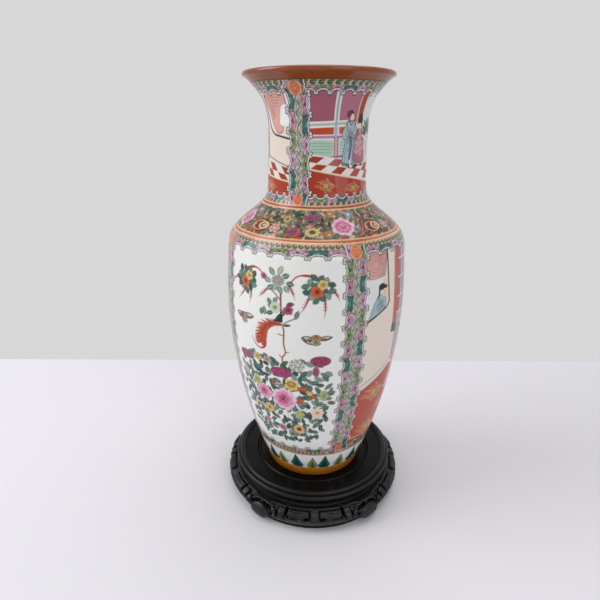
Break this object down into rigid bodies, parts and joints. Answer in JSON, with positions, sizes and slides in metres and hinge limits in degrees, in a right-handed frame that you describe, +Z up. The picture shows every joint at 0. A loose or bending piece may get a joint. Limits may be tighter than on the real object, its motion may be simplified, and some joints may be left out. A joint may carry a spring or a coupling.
{
  "type": "porcelain vase on stand",
  "caption": "Tall baluster vase of enamelled porcelain with a trumpet neck, resting in the sunk seat of a low round black wood stand with a pierced, bulging apron.",
  "frame": {"origin": "centre of the stand's footprint, on the surface it stands on", "axes": "+Z up the axis of the vase; -Y towards the middle of one bird-and-flower panel; +X towards the middle of one court-scene panel"},
  "size_m": [0.1782, 0.178, 0.3849],
  "materials": {
    "porcelain": "gloss",
    "ebonised_wood": "satin",
    "dowel_wood": "matte"
  },
  "bodies": {
    "stand": {"top_panel": "ebonised_wood", "rim_ring": "ebonised_wood", "waist_ring": "ebonised_wood", "base_ring": "ebonised_wood", "apron_1": "ebonised_wood", "apron_2": "ebonised_wood", "apron_3": "ebonised_wood", "apron_4": "ebonised_wood", "apron_5": "ebonised_wood", "leg_1": "ebonised_wood", "leg_2": "ebonised_wood", "leg_3": "ebonised_wood", "leg_4": "ebonised_wood", "leg_5": "ebonised_wood", "dowel_1": "dowel_wood", "dowel_2": "dowel_wood", "dowel_3": "dowel_wood", "dowel_4": "dowel_wood", "dowel_5": "dowel_wood"},
    "vase": {"vase": "porcelain"}
  },
  "joints": [
    {"name": "vase_lift", "type": "slide", "parent": "stand", "child": "vase", "axis": [0, 0, 1], "range_m": [0, 0.06]}
  ]
}
